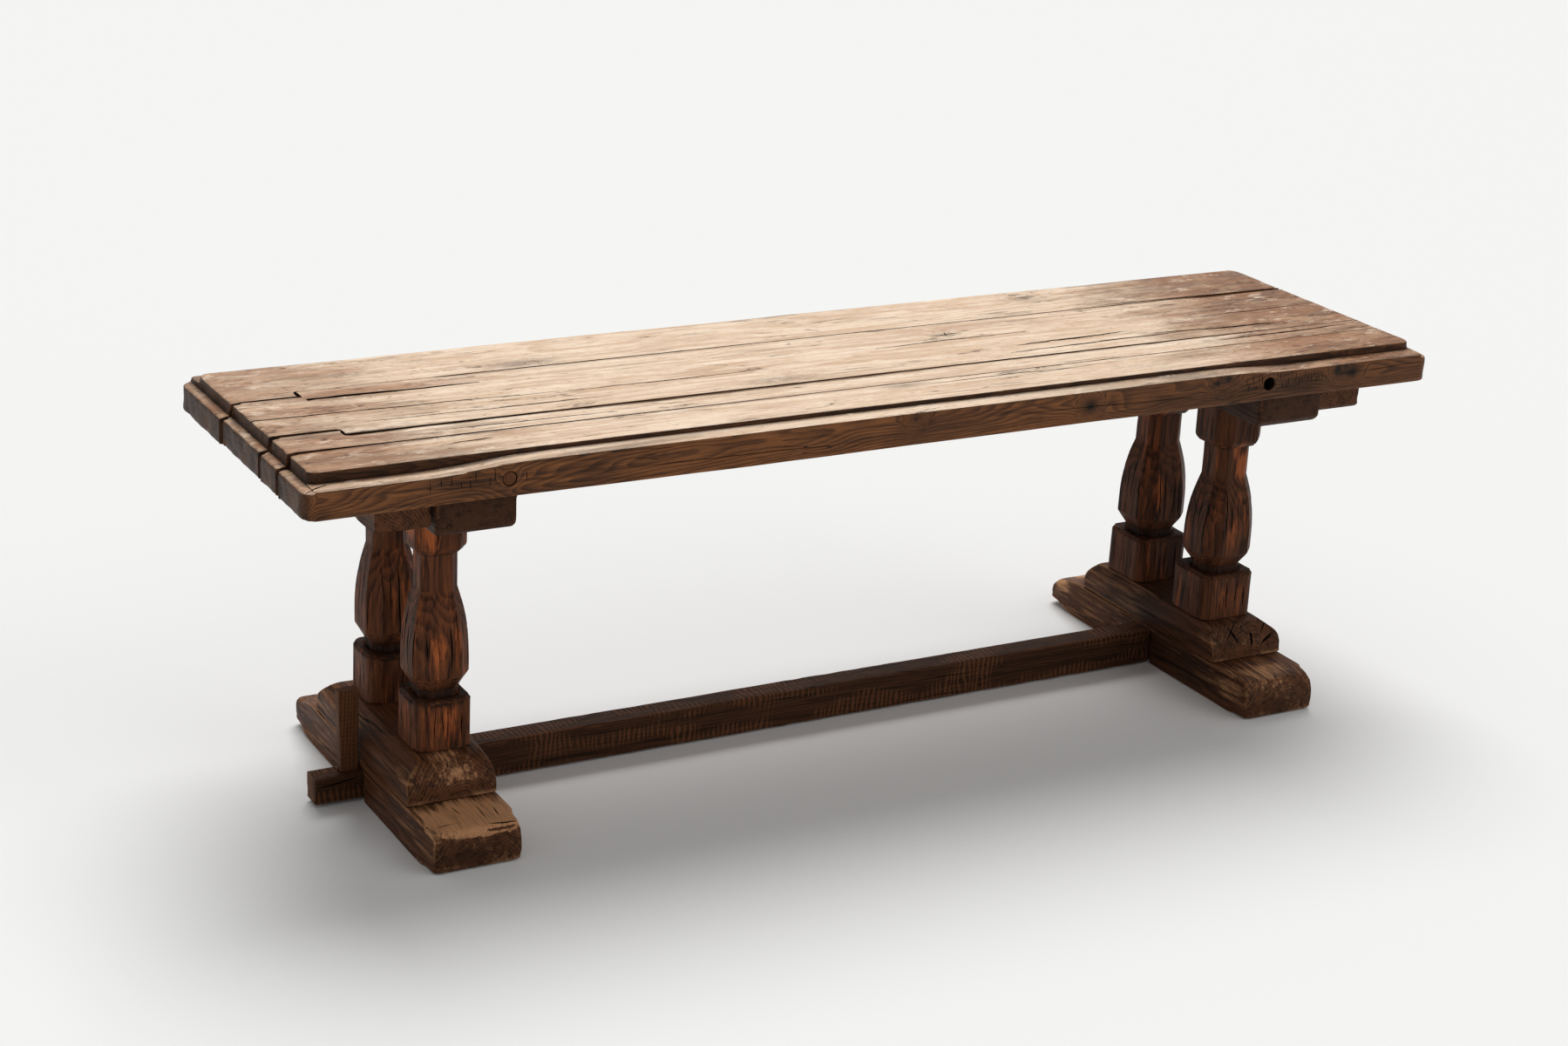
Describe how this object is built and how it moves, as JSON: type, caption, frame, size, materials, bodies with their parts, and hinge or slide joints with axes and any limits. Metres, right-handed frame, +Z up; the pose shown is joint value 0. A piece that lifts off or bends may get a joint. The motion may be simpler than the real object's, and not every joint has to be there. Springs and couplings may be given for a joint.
{
  "type": "refectory table",
  "caption": "Long refectory table: a thick plank top with a rebated edge rests on baluster trestles, which a low stretcher with tusk wedges ties together.",
  "frame": {"origin": "on the floor, under the middle of the top", "axes": "+X along the table, to the right seen from its front; +Y to the back; +Z up"},
  "size_m": [2.41, 0.74, 0.76],
  "materials": {
    "plank_wood": "worn waxed oak, pale on the upper face",
    "peg_wood": "dry end grain",
    "cleat_wood": "dark dry oak",
    "trestle_wood": "dark waxed oak with red worn patches",
    "foot_wood": "dark waxed oak, worn pale on top",
    "stretcher_wood": "dark oak with saw marks",
    "wedge_wood": "dark oak with saw marks",
    "nail_iron": "hand-forged, dull"
  },
  "bodies": {
    "base": {"left_bearer": "trestle_wood", "right_bearer": "trestle_wood", "left_front_post": "trestle_wood", "left_back_post": "trestle_wood", "right_front_post": "trestle_wood", "right_back_post": "trestle_wood", "left_upper_foot": "foot_wood", "left_lower_foot": "foot_wood", "right_upper_foot": "foot_wood", "right_lower_foot": "foot_wood", "stretcher": "stretcher_wood"},
    "top": {"back_plank": "plank_wood", "middle_plank": "plank_wood", "narrow_plank": "plank_wood", "front_plank": "plank_wood", "left_cross_dowel": "peg_wood", "right_cross_dowel": "peg_wood", "left_cleat": "cleat_wood", "right_cleat": "cleat_wood", "cleat_nails": "nail_iron"},
    "left_wedge": {"left_wedge": "wedge_wood"},
    "right_wedge": {"right_wedge": "wedge_wood"}
  },
  "joints": [
    {"name": "top_lift", "type": "slide", "parent": "base", "child": "top", "axis": [0, 0, 1], "range_m": [0, 0.06]},
    {"name": "left_wedge_draw", "type": "slide", "parent": "base", "child": "left_wedge", "axis": [0, 0, 1], "range_m": [0, 0.06]},
    {"name": "right_wedge_draw", "type": "slide", "parent": "base", "child": "right_wedge", "axis": [0, 0, 1], "range_m": [0, 0.06]}
  ]
}
